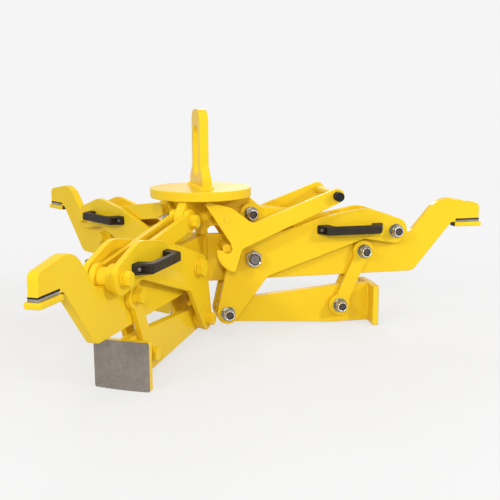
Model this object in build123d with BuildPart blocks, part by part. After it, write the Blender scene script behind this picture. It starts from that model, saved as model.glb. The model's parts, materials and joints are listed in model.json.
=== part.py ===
from build123d import *

import math
import os

# Three-arm internal gripper for lifting concrete rings by their bore.
# Millimetres, +Z up. The origin is the middle of the upper round of the lifting eye.
# X points out along the right arm. Each arm is drawn in the XZ plane and turned about Z into its place.
# A reach is a distance out from the middle axis, and a height is counted from the ground.

ARM_ANGLES = {"right": 0, "rear": 120, "front": 240}

# Plates and gaps, from the middle of an arm outwards
ARM_PLATE = 20.0
LINK_PLATE = 12.0
CRANK_PLATE = 12.0
LATCH_PLATE = 12.0
LINK_GAP = 0.5
CRANK_GAP = 1.5
LATCH_ROOM = 11.5
SIDE_CLEARANCE = 0.1
EDGE_ROUND = 2.0
THIN_EDGE_ROUND = 1.5

# Pivots of one arm
CRANK_PIVOT_REACH = 118.0
CRANK_PIVOT_HEIGHT = 182.0
HUB_RISE = 105.0
CRANK_REACH = 364.0
PAD_PIVOT_IN = 61.0
PAD_PIVOT_DROP = 135.0
SWING_PIVOT_IN = 77.0
SWING_PIVOT_DROP = 51.0

# Fasteners: thread radius, spanner size, head, nut and washer
BOLT_RADIUS = 9.0
BOLT_SPANNER = 27.0
BOLT_HEAD = 12.5
BOLT_NUT = 20.5
BOLT_RECESS = 2.0
WASHER_RADIUS = 17.0
WASHER_THICK = 4.0
MAIN_BOLT_RADIUS = 12.0
MAIN_BOLT_SPANNER = 36.0
MAIN_BOLT_HEAD = 15.0
MAIN_BOLT_NUT = 24.0
MAIN_BOLT_END = 0.5
MAIN_WASHER_RADIUS = 22.0
MAIN_WASHER_THICK = 4.0
NUT_HEX_SHARE = 0.7
NUT_COLLAR_INSET = 1.5
FIT = 0.05
OPEN_PIVOT_PLAY = 4.5

# Eyes, bars and spacers
EYE_RADIUS = 27.0
LINK_WIDTH = 40.0
SWING_WIDTH = 34.0
SPACER_RADIUS = 20.0
BOSS_RADIUS = 25.0

# Hook arm
ARM_BOTTOM = 124.0
ARM_SEAT_DROP = 12.0
SCALLOP_CLEARANCE = 4.0
HEEL_OUT = 60.7
HEEL_ROUND = 24.0
VALLEY_IN = 10.2
VALLEY_ROUND = 40.0
THROAT_OUT = 101.5
THROAT_RISE = 121.4
THROAT_ROUND = 4.0
RECESS_IN = 12.2
HOOK_LENGTH = 76.3
HOOK_TIP = 38.9
HOOK_TIP_ROUND = 15.0
CREST_IN = 35.6
CREST_RISE = 67.8
CREST_ROUND = 66.0

# Foot under the hook: two strips in a recess of the hook, a plate below them and a stop at its inner end
GASKET_THICK = 3.0
STRIP_THICK = 5.3
FOOT_THICK = 11.0
FOOT_WIDTH = 33.0
FOOT_INSET = 9.2
FOOT_OVERHANG = 4.5
FOOT_CORNER = 5.0
FOOT_EDGE = 3.0
STOP_WIDTH = 20.0
STOP_TOP = 6.8
STOP_FOOT = 1.5

# Crank plate: its corners lie from the crank pivot, from its outer end and from the swing pivot
CRANK_END_RADIUS = 31.5
CRANK_HEEL_IN = 66.0
CRANK_HEEL_DROP = 32.0
CRANK_HEEL_ROUND = 60.0
CRANK_SHOULDER_IN = 45.0
CRANK_SHOULDER_RISE = 22.0
CRANK_SHOULDER_ROUND = 18.0
CRANK_BACK_IN = 192.0
CRANK_BACK_RISE = 39.0
CRANK_BACK_ROUND = 60.0
CRANK_HUMP_IN = 76.0
CRANK_HUMP_RISE = 59.6
CRANK_HUMP_ROUND = 80.0
CRANK_ARCH_IN = 3.0
CRANK_ARCH_RISE = 33.0
CRANK_ARCH_ROUND = 14.0
CRANK_ARMPIT_OUT = 38.0
CRANK_ARMPIT_DROP = 48.0
CRANK_ARMPIT_ROUND = 28.0

# Hub
BRACKET_RISE = 43.4
BRACKET_DROP = 28.5
BRACKET_ROOT_IN = 6.0
POST_RADIUS = 15.0
DISC_RADIUS = 120.0
DISC_THICK = 22.0
DISC_ROUND = 2.5
LUG_THICK = 22.0
LUG_EYE_WIDTH = 48.0
LUG_EYE_HEIGHT = 115.0
LUG_EYE_RISE = 119.0
LUG_LIMB = 19.0
LUG_CROWN = 40.0
LUG_FLARE = 27.0
LUG_FLARE_HEIGHT = 28.0
LUG_FLARE_ROUND = 8.0
LUG_FOOT_HEIGHT = 24.0
LUG_FOOT_ROUND = 8.0
LUG_CORNER = 28.0
LUG_EDGE = 3.0
LUG_TURN = 4.0

# Pad
PAD_FACE_OUT = 93.0
PAD_FACE_RADIUS = 500.0
PAD_PLATE = 15.0
PAD_WIDTH = 119.0
PAD_HEIGHT = 99.5
PAD_EDGE = 2.0
PAD_CORNER = 4.0
BAR_LIFT = 2.0
BAR_TOP_INSET = 1.5
BAR_TOP_OUT = 5.0
BAR_BOTTOM_IN = 9.0

# Handle on a crank plate
HANDLE_END_IN = 33.5
HANDLE_RISE = 9.5
HANDLE_LENGTH = 169.0
HANDLE_SLANT = 17.0
HANDLE_STANDOFF = 37.0
HANDLE_WIDTH = 22.5
HANDLE_GRIP_WIDTH = 20.5
HANDLE_FOOT = 27.0
HANDLE_BAR = 11.0
HANDLE_CORNER = 7.0
HANDLE_EDGE = 4.0
WELL_WIDTH = 13.0
WELL_DEPTH = 17.0
WELL_FLOOR = 10.5
WELL_ROOF = 6.0
SCREW_IN = 9.5
SCREW_RADIUS = 3.5
SCREW_HEAD_RADIUS = 5.0
SCREW_HEAD = 5.0

# Latch lever on the right arm: its corners lie from its own pivot
LATCH_PIVOT_IN = 69.5
LATCH_PIVOT_DROP = 1.5
LATCH_PIVOT_RADIUS = 8.0
LATCH_PIVOT_END = 1.6
LATCH_PIVOT_ROUND = 1.0
LATCH_PIN_DROP = 70.5
LATCH_PIN_RADIUS = 10.0
LATCH_PIN_ROOM = 0.8
LATCH_PIN_WALL = 15.0
LATCH_STOP_GAP = 0.5
LATCH_HEEL_IN = 58.0
LATCH_HEEL_ROUND = 6.0
LATCH_BROW_OUT = 10.0
LATCH_BROW_RISE = 25.5
LATCH_BROW_ROUND = 16.0
LATCH_NOTCH_OUT = 59.5
LATCH_NOTCH_DROP = 13.0
LATCH_NOTCH_ROUND = 12.0
LATCH_ROD_OUT = 264.0
LATCH_ROD_RISE = 45.5
LATCH_ROD_EYE = 17.5
LATCH_ROD_RADIUS = 9.5
LATCH_CAP_WALL = 1.5
LATCH_CAP_LENGTH = 21.0
LATCH_CROOK_OUT = 34.0
LATCH_CROOK_DROP = 72.0
LATCH_CROOK_ROUND = 12.0
CLAW_TIP_OUT = 18.0
CLAW_TIP_DROP = 127.5
CLAW_TIP_ROUND = 6.0
CLAW_BELLY_IN = 23.0
CLAW_BELLY_DROP = 113.8
CLAW_BELLY_ROUND = 54.0
CLAW_LIP_IN = 26.5
CLAW_LIP_DROP = 71.5
CLAW_LIP_ROUND = 2.0
CLAW_LIP_WIDTH = 15.5
CLAW_LIP_FALL = 3.0
CLAW_JAW_OUT = 8.5
CLAW_JAW_DROP = 60.0

# Heights over the ground that follow from the pivots
LINK_PIVOT_HEIGHT = CRANK_PIVOT_HEIGHT + HUB_RISE
DISC_UNDERSIDE = LINK_PIVOT_HEIGHT + BRACKET_RISE
DISC_TOP = DISC_UNDERSIDE + DISC_THICK
EYE_HEIGHT = DISC_TOP + LUG_EYE_RISE

# Layers out from the middle plane of an arm
ARM_FACE = ARM_PLATE / 2
LINK_INNER = ARM_FACE + LINK_GAP
LINK_OUTER = LINK_INNER + LINK_PLATE
CRANK_INNER = LINK_OUTER + CRANK_GAP
CRANK_OUTER = CRANK_INNER + CRANK_PLATE
LATCH_INNER = CRANK_OUTER + MAIN_WASHER_THICK + MAIN_BOLT_NUT + MAIN_BOLT_END + LATCH_ROOM
LATCH_OUTER = LATCH_INNER + LATCH_PLATE


def height(over_ground):
    """Z of a height over the ground."""
    return over_ground - EYE_HEIGHT


def beside(origin, out, rise):
    """The point of the XZ plane that lies a distance out from and above another."""
    return (origin[0] + out, origin[1] + rise)


# Pivots as points of the XZ plane
CRANK_PIVOT = (CRANK_PIVOT_REACH, height(CRANK_PIVOT_HEIGHT))
LINK_PIVOT = beside(CRANK_PIVOT, 0, HUB_RISE)
CRANK_END = beside(CRANK_PIVOT, CRANK_REACH, HUB_RISE / 2)
PAD_PIVOT = beside(CRANK_PIVOT, -PAD_PIVOT_IN, -PAD_PIVOT_DROP)
SWING_PIVOT = beside(CRANK_END, -SWING_PIVOT_IN, -SWING_PIVOT_DROP)
SWING_END = beside(SWING_PIVOT, -PAD_PIVOT_IN, -PAD_PIVOT_DROP)
LATCH_PIVOT = beside(LINK_PIVOT, -LATCH_PIVOT_IN, -LATCH_PIVOT_DROP)
LATCH_PIN = beside(LATCH_PIVOT, 0, -LATCH_PIN_DROP)
LATCH_ROD = beside(LATCH_PIVOT, LATCH_ROD_OUT, LATCH_ROD_RISE)

# Planes through the axis where the plates of two arms meet
HALF_SECTOR = math.radians(180 / len(ARM_ANGLES))
MITRES = [
    Plane(origin=(0, 0, 0), z_dir=(math.sin(HALF_SECTOR), -side * math.cos(HALF_SECTOR), 0))
    for side in (1, -1)
]
MITRE_REACH = ARM_FACE / math.tan(HALF_SECTOR)


def tangent_point(outside, centre, radius, side):
    """Where the line from an outside point touches a circle, on its left (side 1) or right (side -1)."""
    towards = math.atan2(outside[1] - centre[1], outside[0] - centre[0])
    spread = math.acos(radius / math.dist(outside, centre))
    angle = towards - side * spread
    return (centre[0] + radius * math.cos(angle), centre[1] + radius * math.sin(angle))


def side_face(y):
    """The XZ plane at a distance to the left of the arm, with its normal to the right."""
    return Plane.XZ.offset(-y)


def rounded_outline(*corners):
    """A closed line through corner points, each with its own rounding radius."""
    points = [point for point, radius in corners]
    FilletPolyline(*points, radius=[radius for point, radius in corners], close=True)


def broad_edges(plate):
    """The outer edges of a plate's two broad faces."""
    return ShapeList(edge for face in plate.faces().filter_by(Axis.Y) for edge in face.outer_wire().edges())


def turned(shape, arm):
    """The shape of the right arm turned into the place of another arm."""
    return shape.rotate(Axis.Z, ARM_ANGLES[arm])


def on_all_arms(shapes):
    """Copies of the right arm's shapes for every arm."""
    return [turned(shape, arm) for arm in ARM_ANGLES for shape in shapes]


def with_mirror_image(left):
    """A piece on the left of the arm and its mirror image on the right."""
    return [left, mirror(left, about=Plane.XZ, mode=Mode.PRIVATE)]


def save(shape, name):
    """Labels a piece and writes it."""
    shape.label = name
    export_step(shape, f"parts/{name}.step")


def save_group(shapes, name):
    """Writes several solids as one group."""
    save(Compound(children=shapes), name)


def ring(place, inner, outer, from_y, to_y):
    """A washer, boss or tube around a pivot, between two distances to the left of the arm."""
    with BuildPart() as part:
        with BuildSketch(side_face(to_y)):
            with Locations(place):
                Circle(outer)
                Circle(inner, mode=Mode.SUBTRACT)
        extrude(amount=to_y - from_y)
    return part.part


def round_bar(place, radius, from_y, to_y):
    """A round bar across the arm."""
    with BuildPart() as part:
        with BuildSketch(side_face(to_y)):
            with Locations(place):
                Circle(radius)
        extrude(amount=to_y - from_y)
    return part.part


def hex_bolt(place, seat, radius, spanner, head, reach):
    """A bolt across the arm with its head to the left, reaching past the seat of the nut to the right."""
    with BuildPart() as part:
        with BuildSketch(side_face(seat + head)):
            with Locations(place):
                RegularPolygon(radius=spanner / 2, side_count=6, major_radius=False)
        extrude(amount=head)
        with BuildSketch(side_face(seat)):
            with Locations(place):
                Circle(radius)
        extrude(amount=2 * seat + reach)
    return part.part


def lock_nut(place, seat, radius, spanner, nut):
    """A hexagon nut with a round collar, on the seat to the right of the arm."""
    with BuildPart() as part:
        with BuildSketch(side_face(-seat)):
            with Locations(place):
                RegularPolygon(radius=spanner / 2, side_count=6, major_radius=False)
                Circle(radius + FIT, mode=Mode.SUBTRACT)
        extrude(amount=nut * NUT_HEX_SHARE)
        with BuildSketch(side_face(-seat - nut * NUT_HEX_SHARE)):
            with Locations(place):
                Circle(spanner / 2 - NUT_COLLAR_INSET)
                Circle(radius + FIT, mode=Mode.SUBTRACT)
        extrude(amount=nut * (1 - NUT_HEX_SHARE))
    return part.part


def small_bolt(place, face):
    """The head side and the nut side of a bolt through faces at a distance from the middle plane."""
    seat = face + WASHER_THICK
    hole = BOLT_RADIUS + FIT
    head_side = [
        hex_bolt(place, seat, BOLT_RADIUS, BOLT_SPANNER, BOLT_HEAD, BOLT_NUT - BOLT_RECESS),
        ring(place, hole, WASHER_RADIUS, face, seat),
    ]
    nut_side = [
        lock_nut(place, seat, BOLT_RADIUS, BOLT_SPANNER, BOLT_NUT),
        ring(place, hole, WASHER_RADIUS, -seat, -face),
    ]
    return head_side, nut_side


def main_bolt(place, face):
    """The head side and the nut side of the larger bolt that carries a crank."""
    seat = face + MAIN_WASHER_THICK
    hole = MAIN_BOLT_RADIUS + FIT
    head_side = [
        hex_bolt(
            place, seat, MAIN_BOLT_RADIUS, MAIN_BOLT_SPANNER, MAIN_BOLT_HEAD, MAIN_BOLT_NUT + MAIN_BOLT_END
        ),
        ring(place, hole, MAIN_WASHER_RADIUS, face, seat),
    ]
    nut_side = [
        lock_nut(place, seat, MAIN_BOLT_RADIUS, MAIN_BOLT_SPANNER, MAIN_BOLT_NUT),
        ring(place, hole, MAIN_WASHER_RADIUS, -seat, -face),
    ]
    return head_side, nut_side


def bar_with_eyes(start, end, width, end_play):
    """The left of two flat bars with a round eye about each of two pivots."""
    middle = ((start[0] + end[0]) / 2, (start[1] + end[1]) / 2)
    slope = math.degrees(math.atan2(end[1] - start[1], end[0] - start[0]))
    with BuildPart() as part:
        with BuildSketch(side_face(LINK_OUTER)):
            with Locations(start, end):
                Circle(EYE_RADIUS)
            with Locations(Location((middle[0], middle[1], 0), (0, 0, slope))):
                Rectangle(math.dist(start, end), width)
            with Locations(start):
                Circle(BOLT_RADIUS + FIT, mode=Mode.SUBTRACT)
            with Locations(end):
                Circle(BOLT_RADIUS + end_play, mode=Mode.SUBTRACT)
        extrude(amount=LINK_PLATE)
        fillet(broad_edges(part), THIN_EDGE_ROUND)
    return part.part


os.makedirs("parts", exist_ok=True)

# Hook arm: an S-shaped plate that carries a crank, a swing link and a foot
arm_low = height(ARM_BOTTOM)
arm_crown = LATCH_PIN[1] + LATCH_PIN_RADIUS + LATCH_PIN_WALL
arm_seat = CRANK_END[1] - ARM_SEAT_DROP
heel = (CRANK_END[0] + HEEL_OUT, arm_low)
throat = beside(heel, THROAT_OUT, THROAT_RISE)
foot_top = throat[1]
foot_low = foot_top - FOOT_THICK
strip_top = foot_top + STRIP_THICK
hook_underside = strip_top + GASKET_THICK
hook_tip = throat[0] + HOOK_LENGTH
recess_start = throat[0] + RECESS_IN


def hook_arm(latch_hole):
    """A hook arm, with the hole of the latch pin where it is asked for."""
    with BuildPart() as part:
        with BuildSketch(side_face(ARM_FACE)):
            with BuildLine():
                rounded_outline(
                    ((0, arm_low), 0),
                    (heel, HEEL_ROUND),
                    (throat, THROAT_ROUND),
                    ((recess_start, foot_top), 0),
                    ((recess_start, hook_underside), 0),
                    ((hook_tip, hook_underside), 0),
                    ((hook_tip, hook_underside + HOOK_TIP), HOOK_TIP_ROUND),
                    (beside(throat, -CREST_IN, CREST_RISE), CREST_ROUND),
                    ((heel[0] - VALLEY_IN, arm_seat), VALLEY_ROUND),
                    ((0, arm_crown), 0),
                )
            make_face()
            with Locations(CRANK_END):
                Circle(SPACER_RADIUS + SCALLOP_CLEARANCE, mode=Mode.SUBTRACT)
            with Locations(CRANK_PIVOT):
                Circle(MAIN_BOLT_RADIUS + FIT, mode=Mode.SUBTRACT)
            with Locations(SWING_PIVOT):
                Circle(BOLT_RADIUS + FIT, mode=Mode.SUBTRACT)
            if latch_hole:
                with Locations(LATCH_PIN):
                    Circle(LATCH_PIN_RADIUS + FIT, mode=Mode.SUBTRACT)
        extrude(amount=ARM_PLATE)
        for mitre in MITRES:
            split(bisect_by=mitre, keep=Keep.TOP)
        fillet(broad_edges(part).filter_by_position(Axis.X, MITRE_REACH + EDGE_ROUND, hook_tip), EDGE_ROUND)
    return part.part


for arm in ARM_ANGLES:
    save(turned(hook_arm(latch_hole=arm == "right"), arm), f"hook_arm_{arm}")

# Bosses that hold the cranks off the arm plate
pivot_boss = ring(CRANK_PIVOT, MAIN_BOLT_RADIUS + FIT, BOSS_RADIUS, ARM_FACE, CRANK_INNER - SIDE_CLEARANCE)
save_group(on_all_arms(with_mirror_image(pivot_boss)), "crank_pivot_bosses")

# Bolts that carry the cranks and the swing links on the star frame
crank_heads, crank_nuts = main_bolt(CRANK_PIVOT, CRANK_OUTER + SIDE_CLEARANCE)
save_group(on_all_arms(crank_heads), "crank_pivot_bolts")
save_group(on_all_arms(crank_nuts), "crank_pivot_nuts")
swing_heads, swing_nuts = small_bolt(SWING_PIVOT, LINK_OUTER + SIDE_CLEARANCE)
save_group(on_all_arms(swing_heads), "swing_pivot_bolts")
save_group(on_all_arms(swing_nuts), "swing_pivot_nuts")

# Latch pin through the right arm, ending just inside the claw plates
latch_pin_end = LATCH_INNER - LATCH_STOP_GAP
save(round_bar(LATCH_PIN, LATCH_PIN_RADIUS, -latch_pin_end, latch_pin_end), "latch_pin")

# Foot: a gasket and a steel strip in the hook's recess, a wide plate below them and a stop at its inner end
foot_start = throat[0] + FOOT_INSET
foot_end = hook_tip + FOOT_OVERHANG


def foot_strip(top, thick):
    """A strip as wide as the arm in the recess of the hook."""
    with BuildPart() as part:
        with BuildSketch(Plane.XY.offset(top - thick)):
            with Locations(((recess_start + hook_tip) / 2, 0)):
                Rectangle(hook_tip - recess_start, ARM_PLATE)
        extrude(amount=thick)
    return part.part


with BuildPart() as foot_plate:
    with BuildSketch(Plane.XY.offset(foot_low)):
        with Locations(((foot_start + foot_end) / 2, 0)):
            RectangleRounded(foot_end - foot_start, FOOT_WIDTH, FOOT_CORNER)
    extrude(amount=FOOT_THICK)
    fillet(foot_plate.faces().filter_by(Axis.Z).edges(), FOOT_EDGE)

with BuildPart() as foot_stop:
    with BuildSketch(side_face(STOP_WIDTH / 2)):
        with BuildLine():
            Polyline(
                (foot_start - STOP_TOP, foot_top),
                (foot_start, foot_top),
                (foot_start, foot_low),
                (foot_start - STOP_FOOT, foot_low),
                close=True,
            )
        make_face()
    extrude(amount=STOP_WIDTH)

save_group(on_all_arms([foot_strip(hook_underside, GASKET_THICK)]), "foot_gaskets")
save_group(on_all_arms([foot_strip(strip_top, STRIP_THICK)]), "foot_strips")
save_group(on_all_arms([foot_plate.part]), "foot_plates")
save_group(on_all_arms([foot_stop.part]), "foot_stops")

# Hub: disc, lifting lug and bracket plates
with BuildPart() as top_disc:
    with BuildSketch(Plane.XY.offset(height(DISC_UNDERSIDE))):
        Circle(DISC_RADIUS)
    extrude(amount=DISC_THICK)
    fillet(top_disc.edges().filter_by(GeomType.CIRCLE), DISC_ROUND)
save(top_disc.part, "top_disc")

lug_half = LUG_EYE_WIDTH / 2 + LUG_LIMB
lug_foot_half = lug_half + LUG_FLARE
lug_base = height(DISC_TOP)
lug_kink = lug_base + LUG_FOOT_HEIGHT
lug_crown = LUG_EYE_WIDTH / 2 + LUG_CROWN
lug_side = [
    ((lug_foot_half, lug_base), 0),
    ((lug_foot_half, lug_kink), LUG_FOOT_ROUND),
    ((lug_half, lug_kink + LUG_FLARE_HEIGHT), LUG_FLARE_ROUND),
    ((lug_half, lug_crown), LUG_CORNER),
]
lug_other_side = [((-y, z), radius) for (y, z), radius in reversed(lug_side)]
with BuildPart() as lifting_lug:
    with BuildSketch(Plane.YZ.offset(-LUG_THICK / 2)):
        with BuildLine():
            rounded_outline(*lug_side, *lug_other_side)
        make_face()
        with Locations((0, LUG_EYE_WIDTH / 2 - LUG_EYE_HEIGHT / 2)):
            SlotOverall(LUG_EYE_HEIGHT, LUG_EYE_WIDTH, rotation=90, mode=Mode.SUBTRACT)
    extrude(amount=LUG_THICK)
    lug_edges = lifting_lug.faces().filter_by(Axis.X).edges()
    fillet(lug_edges.filter_by_position(Axis.Z, lug_base + LUG_EDGE, lug_crown), LUG_EDGE)
save(lifting_lug.part.rotate(Axis.Z, LUG_TURN), "lifting_lug")

# Post in the middle of the hub, down to the star frame
bracket_root = height(DISC_UNDERSIDE)
post_low = arm_crown + SIDE_CLEARANCE
with BuildPart() as centre_post:
    with BuildSketch(Plane.XY.offset(post_low)):
        Circle(POST_RADIUS)
    extrude(amount=bracket_root - post_low)
save(centre_post.part, "centre_post")


def hub_bracket(pivot_hole):
    """A plate under the disc with the eye of the links, and the latch's hole where it is asked for."""
    low = LINK_PIVOT[1] - BRACKET_DROP
    root_end = (LINK_PIVOT[0] - BRACKET_ROOT_IN, bracket_root)
    with BuildPart() as part:
        with BuildSketch(side_face(ARM_FACE)):
            with BuildLine():
                Polyline(
                    (0, bracket_root), (0, low), (LINK_PIVOT[0], low),
                    tangent_point(root_end, LINK_PIVOT, BRACKET_DROP, 1), root_end, close=True,
                )
            make_face()
            with Locations(LINK_PIVOT):
                Circle(BRACKET_DROP)
                Circle(BOLT_RADIUS + FIT, mode=Mode.SUBTRACT)
            if pivot_hole:
                with Locations(LATCH_PIVOT):
                    Circle(LATCH_PIVOT_RADIUS + FIT, mode=Mode.SUBTRACT)
        extrude(amount=ARM_PLATE)
        with BuildSketch(Plane.XY.offset(low)):
            Circle(POST_RADIUS + FIT)
        extrude(amount=bracket_root - low, mode=Mode.SUBTRACT)
        free_edges = broad_edges(part).filter_by_position(Axis.X, POST_RADIUS, DISC_RADIUS * 2)
        fillet(free_edges.filter_by_position(Axis.Z, low - EDGE_ROUND, bracket_root - EDGE_ROUND), EDGE_ROUND)
    return part.part


save_group([turned(hub_bracket(pivot_hole=arm == "right"), arm) for arm in ARM_ANGLES], "hub_brackets")

link_heads, link_nuts = small_bolt(LINK_PIVOT, LINK_OUTER + SIDE_CLEARANCE)
save_group(on_all_arms(link_heads), "link_bolts")
save_group(on_all_arms(link_nuts), "link_nuts")

# Cranks: two boomerang plates on each arm with their bolts, spacers and handles
crank_heel = beside(CRANK_PIVOT, -CRANK_HEEL_IN, -CRANK_HEEL_DROP)
crank_armpit = beside(CRANK_PIVOT, CRANK_ARMPIT_OUT, -CRANK_ARMPIT_DROP)
crank_hump = beside(CRANK_END, -CRANK_HUMP_IN, CRANK_HUMP_RISE)
crank_arch = beside(SWING_PIVOT, -CRANK_ARCH_IN, CRANK_ARCH_RISE)
with BuildPart() as crank_plate:
    with BuildSketch(side_face(CRANK_OUTER)):
        with BuildLine():
            rounded_outline(
                (tangent_point(crank_heel, PAD_PIVOT, EYE_RADIUS, -1), 0),
                (crank_heel, CRANK_HEEL_ROUND),
                (beside(CRANK_PIVOT, -CRANK_SHOULDER_IN, CRANK_SHOULDER_RISE), CRANK_SHOULDER_ROUND),
                (beside(CRANK_END, -CRANK_BACK_IN, CRANK_BACK_RISE), CRANK_BACK_ROUND),
                (crank_hump, CRANK_HUMP_ROUND),
                (tangent_point(crank_hump, CRANK_END, CRANK_END_RADIUS, 1), 0),
                (tangent_point(crank_arch, CRANK_END, CRANK_END_RADIUS, -1), 0),
                (crank_arch, CRANK_ARCH_ROUND),
                (crank_armpit, CRANK_ARMPIT_ROUND),
                (tangent_point(crank_armpit, PAD_PIVOT, EYE_RADIUS, 1), 0),
            )
        make_face()
        with Locations(CRANK_END):
            Circle(CRANK_END_RADIUS)
        with Locations(PAD_PIVOT):
            Circle(EYE_RADIUS)
        with Locations(CRANK_END, PAD_PIVOT):
            Circle(BOLT_RADIUS + FIT, mode=Mode.SUBTRACT)
        with Locations(CRANK_PIVOT):
            Circle(MAIN_BOLT_RADIUS + FIT, mode=Mode.SUBTRACT)
    extrude(amount=CRANK_PLATE)
    fillet(broad_edges(crank_plate), EDGE_ROUND)

# Handle: a bar on two slanted legs, with a screw well in the end of each leg
handle_middle = beside(CRANK_END, -HANDLE_END_IN - HANDLE_LENGTH / 2, HANDLE_RISE)
handle_top = CRANK_OUTER + HANDLE_STANDOFF
handle_inside = handle_top - HANDLE_BAR
inner_slant = HANDLE_SLANT * (HANDLE_STANDOFF - HANDLE_BAR) / HANDLE_STANDOFF
well_floor = CRANK_OUTER + WELL_FLOOR
leg = [
    ((HANDLE_LENGTH / 2, CRANK_OUTER), 0),
    ((HANDLE_LENGTH / 2 - HANDLE_SLANT, handle_top), HANDLE_CORNER),
]
leg_inside = [
    ((HANDLE_LENGTH / 2 - HANDLE_FOOT - inner_slant, handle_inside), HANDLE_CORNER),
    ((HANDLE_LENGTH / 2 - HANDLE_FOOT, CRANK_OUTER), 0),
]
other_leg = [((-x, y), radius) for (x, y), radius in reversed(leg)]
other_leg_inside = [((-x, y), radius) for (x, y), radius in reversed(leg_inside)]
with BuildPart() as handle:
    with BuildSketch(Plane.XY.offset(handle_middle[1] - HANDLE_WIDTH / 2)):
        with BuildLine(Plane.XY.move(Location((handle_middle[0], 0, handle_middle[1] - HANDLE_WIDTH / 2)))):
            rounded_outline(*leg, *other_leg, *other_leg_inside, *leg_inside)
        make_face()
    extrude(amount=HANDLE_WIDTH)
    with BuildSketch(Plane.YZ.offset(handle_middle[0] - HANDLE_LENGTH / 2)):
        with BuildLine():
            Polyline(
                (CRANK_OUTER, handle_middle[1] - HANDLE_WIDTH / 2),
                (handle_top, handle_middle[1] - HANDLE_GRIP_WIDTH / 2),
                (handle_top, handle_middle[1] + HANDLE_GRIP_WIDTH / 2),
                (CRANK_OUTER, handle_middle[1] + HANDLE_WIDTH / 2),
                close=True,
            )
        make_face()
    extrude(amount=HANDLE_LENGTH, mode=Mode.INTERSECT)
    long_edges = handle.edges().filter_by(Axis.X)
    fillet(long_edges.filter_by_position(Axis.Y, handle_inside, handle_top + FIT), HANDLE_EDGE)
    with BuildSketch(side_face(handle_top - WELL_ROOF)):
        with Locations(
            beside(handle_middle, -HANDLE_LENGTH / 2, 0),
            beside(handle_middle, HANDLE_LENGTH / 2, 0),
        ):
            Rectangle(2 * WELL_DEPTH, WELL_WIDTH)
    extrude(amount=handle_top - WELL_ROOF - well_floor, mode=Mode.SUBTRACT)
    with BuildSketch(side_face(well_floor)):
        with Locations(
            beside(handle_middle, SCREW_IN - HANDLE_LENGTH / 2, 0),
            beside(handle_middle, HANDLE_LENGTH / 2 - SCREW_IN, 0),
        ):
            Circle(SCREW_RADIUS + FIT)
    extrude(amount=WELL_FLOOR, mode=Mode.SUBTRACT)


def handle_screw(place):
    """A screw in a well of the handle, down to the crank plate."""
    with BuildPart() as part:
        with BuildSketch(side_face(well_floor + SCREW_HEAD)):
            with Locations(place):
                Circle(SCREW_HEAD_RADIUS)
        extrude(amount=SCREW_HEAD)
        with BuildSketch(side_face(well_floor)):
            with Locations(place):
                Circle(SCREW_RADIUS)
        extrude(amount=WELL_FLOOR)
    return part.part


screws = [
    screw
    for end in (-1, 1)
    for screw in with_mirror_image(
        handle_screw(beside(handle_middle, end * (HANDLE_LENGTH / 2 - SCREW_IN), 0))
    )
]
crank_tube = ring(
    CRANK_END, BOLT_RADIUS + FIT, SPACER_RADIUS, SIDE_CLEARANCE - LINK_INNER, LINK_INNER - SIDE_CLEARANCE
)
pad_boss = ring(PAD_PIVOT, BOLT_RADIUS + FIT, BOSS_RADIUS, ARM_FACE + SIDE_CLEARANCE, CRANK_INNER)
end_heads, end_nuts = small_bolt(CRANK_END, CRANK_OUTER)
foot_heads, foot_nuts = small_bolt(PAD_PIVOT, CRANK_OUTER)
crank_left, crank_right = with_mirror_image(crank_plate.part)
spacers = [crank_tube] + with_mirror_image(pad_boss)
handles = with_mirror_image(handle.part)
for arm in ARM_ANGLES:
    save(turned(crank_left, arm), f"crank_plate_left_{arm}")
    save(turned(crank_right, arm), f"crank_plate_right_{arm}")
    save_group([turned(piece, arm) for piece in spacers], f"crank_spacers_{arm}")
    save_group([turned(piece, arm) for piece in end_heads + foot_heads], f"crank_bolts_{arm}")
    save_group([turned(piece, arm) for piece in end_nuts + foot_nuts + screws], f"crank_fixings_{arm}")
    save_group([turned(piece, arm) for piece in handles], f"handles_{arm}")

# Links from the hub to the cranks, whose outer eyes have play because the linkage is opened there
link_bars = with_mirror_image(bar_with_eyes(LINK_PIVOT, CRANK_END, LINK_WIDTH, OPEN_PIVOT_PLAY))
# Swing links from the star frame to the pad bars
swing_links = with_mirror_image(bar_with_eyes(SWING_PIVOT, SWING_END, SWING_WIDTH, FIT))
for arm in ARM_ANGLES:
    save_group([turned(bar, arm) for bar in link_bars], f"link_bars_{arm}")
    save_group([turned(link, arm) for link in swing_links], f"swing_links_{arm}")

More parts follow.
